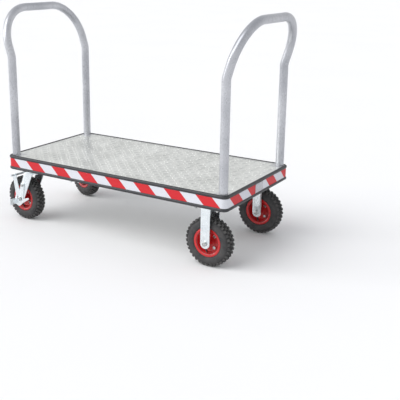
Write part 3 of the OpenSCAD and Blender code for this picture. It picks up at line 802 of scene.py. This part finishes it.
bpy.data.objects.remove(knob_object)
for caster in casters:
    fitted(placed("tyre_body", tyre_mesh, caster), caster + "_wheel", "tyre_rubber", rubber,
           caster + "_tyre")
    fitted(placed("tyre_knobs", knob_mesh, caster), caster + "_wheel", "tyre_rubber", knob_rubber)


# ---- Inner tubes and valves ----
# A butyl tube that fills the tyre, with a brass valve stem through the outer rim half and a dust cap.

butyl = finish("butyl_rubber", (0.03, 0.03, 0.03), 0.6)
tinted(butyl, grain(butyl, 60), (0.024, 0.024, 0.025), (0.040, 0.040, 0.041))
embossed(butyl, (grain(butyl, 500, seed=2.2), 0.0001))
valve_turn, valve_slant = math.radians(95), 0.79
valve_radius, valve_depth = 0.038, 0.022               # where the CAD stem ends, from the axle's middle
brass = finish("valve_brass", (0.62, 0.44, 0.20), 0.3, 1.0)
tinted(brass, grain(brass, 400), (0.50, 0.36, 0.17), (0.68, 0.50, 0.25))
cap_plastic = finish("dust_cap", (0.02, 0.02, 0.021), 0.5)
tinted(cap_plastic, grain(cap_plastic, 500), (0.016, 0.016, 0.017), (0.03, 0.03, 0.03))


def lathe(name, profile, sides=20):
    """A closed turning round Z from (radius, height) corners, its first and last on the axis."""
    shape = bmesh.new()
    turns = [2 * math.pi * k / sides for k in range(sides)]
    rings = [[shape.verts.new((r * math.cos(a), r * math.sin(a), z)) for a in turns]
             for r, z in profile[1:-1]]
    foot, tip = shape.verts.new((0, 0, profile[0][1])), shape.verts.new((0, 0, profile[-1][1]))
    for k in range(sides):
        n = (k + 1) % sides
        shape.faces.new((foot, rings[0][n], rings[0][k]))
        shape.faces.new((tip, rings[-1][k], rings[-1][n]))
        for a, b in zip(rings, rings[1:]):
            shape.faces.new((a[k], a[n], b[n], b[k]))
    bmesh.ops.recalc_face_normals(shape, faces=shape.faces)
    return meshed(name, shape, angle=35)


stem_way = Vector((-math.cos(valve_turn), -valve_slant, math.sin(valve_turn))).normalized()
stem_end = Vector((math.cos(valve_turn) * valve_radius, -valve_depth,
                   -math.sin(valve_turn) * valve_radius))
stem_frame = Matrix.Translation(stem_end) @ stem_way.to_track_quat("Z", "Y").to_matrix().to_4x4()
stem_mesh = lathe("stem", [(0, -0.003), (0.0027, -0.003), (0.0027, 0.0035), (0, 0.0035)])
cap_mesh = lathe("cap", [(0, 0.002), (0.0036, 0.002), (0.0039, 0.003), (0.0039, 0.0095),
                         (0.0032, 0.0112), (0, 0.0116)])
for mesh in (stem_mesh, cap_mesh):
    mesh.transform(stem_frame)
for caster in casters:
    set_material(frame["nodes"][caster + "_inner_tube"], butyl)
    fitted(placed("valve_stem", stem_mesh, caster), caster + "_wheel", "bright_steel", brass)
    fitted(placed("valve_cap", cap_mesh, caster), caster + "_wheel", "tube_rubber", cap_plastic)


# ---- Rims ----
# Two pressed steel halves bolted back to back, each with a rolled flange, a bead seat and a dished
# centre, in gloss red enamel.

enamel = finish("red_enamel", (0.52, 0.010, 0.012), 0.30, Coat_Weight=0.3, Coat_Roughness=0.10)
tinted(enamel, grain(enamel, 25, detail=6), (0.44, 0.007, 0.009), (0.56, 0.012, 0.014))
polished(enamel, grain(enamel, 120, seed=3.7), 0.24, 0.38)
embossed(enamel, (grain(enamel, 180, detail=2, seed=8.0), 0.00012))


def rim_half(sign):
    """One pressing's loop, on the side of the middle plane that sign gives."""
    face = [(0.0180, 0.0020, 0), (0.0420, 0.0020, 0.002), (0.0470, 0.0095, 0.003),
            (0.0488, 0.0185, 0.004), (0.0535, 0.0246, 0.004), (0.0580, 0.0260, 0.002),
            (0.0636, 0.0258, 0.0012), (0.0652, 0.0236, 0.001), (0.0646, 0.0228, 0.0006),
            (0.0620, 0.0238, 0.001), (0.0560, 0.0236, 0.003), (0.0510, 0.0205, 0.004),
            (0.0508, 0.0080, 0.003), (0.0448, 0.0001, 0.002), (0.0180, 0.0001, 0)]
    return rounded([(r, sign * y, radius) for r, y, radius in face])


rim_mesh = spun("rim", rim_half(1), rim_half(-1))
for caster in casters:
    fitted(placed("rim_pressings", rim_mesh, caster), caster + "_wheel", "red_paint", enamel,
           caster + "_rim")


# ---- Zinc-plated hardware ----
# Rim bolts, bearings, axle bolts, caster studs and kingpins: turned and cold-headed steel with bright
# zinc plate, its edges eased. The hub is enamelled with the rim.

def zinc(name, dark, bright, rough, scale=60.0):
    """Bright zinc plate: bluish, with soft spangle and a few rubbed places."""
    made = finish(name, bright, rough, 1.0)
    tinted(made, grain(made, scale, detail=3), dark, bright, 0.3, 0.7)
    polished(made, grain(made, scale * 4, detail=3, seed=2.9), rough * 0.9, rough * 1.15)
    embossed(made, (grain(made, scale * 12, detail=2, seed=5.3), 0.00001))
    return made


def holder(caster):
    """The body that a caster's fork and axle are on."""
    return "deck" if caster.startswith("rigid") else caster + "_caster"


bolt_zinc = zinc("bolt_zinc", (0.40, 0.41, 0.41), (0.60, 0.61, 0.60), 0.26, 150)
bearing_zinc = zinc("bearing_zinc", (0.55, 0.56, 0.57), (0.76, 0.77, 0.79), 0.32, 90)
for caster in casters:
    fitted(eased(caster + "_rim_bolts", 0.0005), caster + "_wheel", "bright_steel", bolt_zinc,
           caster + "_rim_bolts")
    set_material(frame["nodes"][caster + "_hub"], enamel)
    set_material(frame["nodes"][caster + "_bearings"], bearing_zinc)
    fitted(eased(caster + "_axle", 0.0006), holder(caster), "bright_steel", bolt_zinc, caster + "_axle")
fitted(eased("caster_studs", 0.0006), "deck", "bright_steel", bolt_zinc, "caster_studs")
for caster in swivel_casters:
    for part in ("balls", "kingpin", "brake_pivots"):
        set_material(frame["nodes"][caster + "_" + part], bolt_zinc)


# ---- Forks and top plates ----
# Pressed 5 mm steel, bent and welded, in bright zinc plate: straight legs with a pressed rib on the
# rigid casters, raked legs under a round crown on the swivel casters.

plate_zinc = zinc("plate_zinc", (0.76, 0.81, 0.84), (0.86, 0.91, 0.93), 0.28, 22)
for caster in casters:
    fitted(eased(caster + "_fork", 0.0009), holder(caster), "zinc_steel", plate_zinc, caster + "_fork")
    if caster in swivel_casters:
        fitted(eased(caster + "_top_plate", 0.0008), "deck", "zinc_steel", plate_zinc,
               caster + "_top_plate")

axle_z, rib_foot_z = 0.110, 0.150
rib_half, rib_slope, rib_proud, rib_sunk = 0.0102, 0.0042, 0.0021, 0.0003
leg_face, plate_under, foot_steps = 0.044, 0.0051, 16


def pressed_rib(sign, foot, top):
    """The long ridge down a rigid fork's leg, sloping away to the leg's face all round."""
    shape = bmesh.new()
    rings = []
    wide = rib_half + rib_slope
    for half, out in ((wide, -rib_sunk), (wide, 0.0), (rib_half, rib_proud)):
        turns = [math.pi * k / foot_steps for k in range(foot_steps + 1)]
        round_foot = [(half * math.cos(a), foot - half * math.sin(a)) for a in turns]
        ring = [(half, top), *round_foot, (-half, top)]
        rings.append([shape.verts.new((x, sign * (leg_face + out), z)) for x, z in ring])
    for a, b in zip(rings, rings[1:]):
        for k in range(len(a)):
            n = (k + 1) % len(a)
            shape.faces.new((a[k], a[n], b[n], b[k]))
    shape.faces.new(rings[0])
    shape.faces.new(rings[-1])
    bmesh.ops.recalc_face_normals(shape, faces=shape.faces)
    return meshed("rib", shape, angle=20)


for caster in rigid_casters:
    fork_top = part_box(caster + "_fork")[1].z - plate_under - axle_z
    for sign, name in ((-1, "outer_rib"), (1, "inner_rib")):
        rib = pressed_rib(sign, rib_foot_z - axle_z, fork_top)
        fitted(placed(name, rib, caster), "deck", "zinc_steel", plate_zinc)


# ---- Foot brakes ----
# A lever of two pressed plates that straddles each swivel wheel and hangs on a pivot in the fork.
# Treading on its pedal swings a round bar on to the tyre.

for caster in swivel_casters:
    fitted(eased(caster + "_brake_lever", 0.0007), caster + "_brake", "zinc_steel", plate_zinc,
           caster + "_brake_lever")
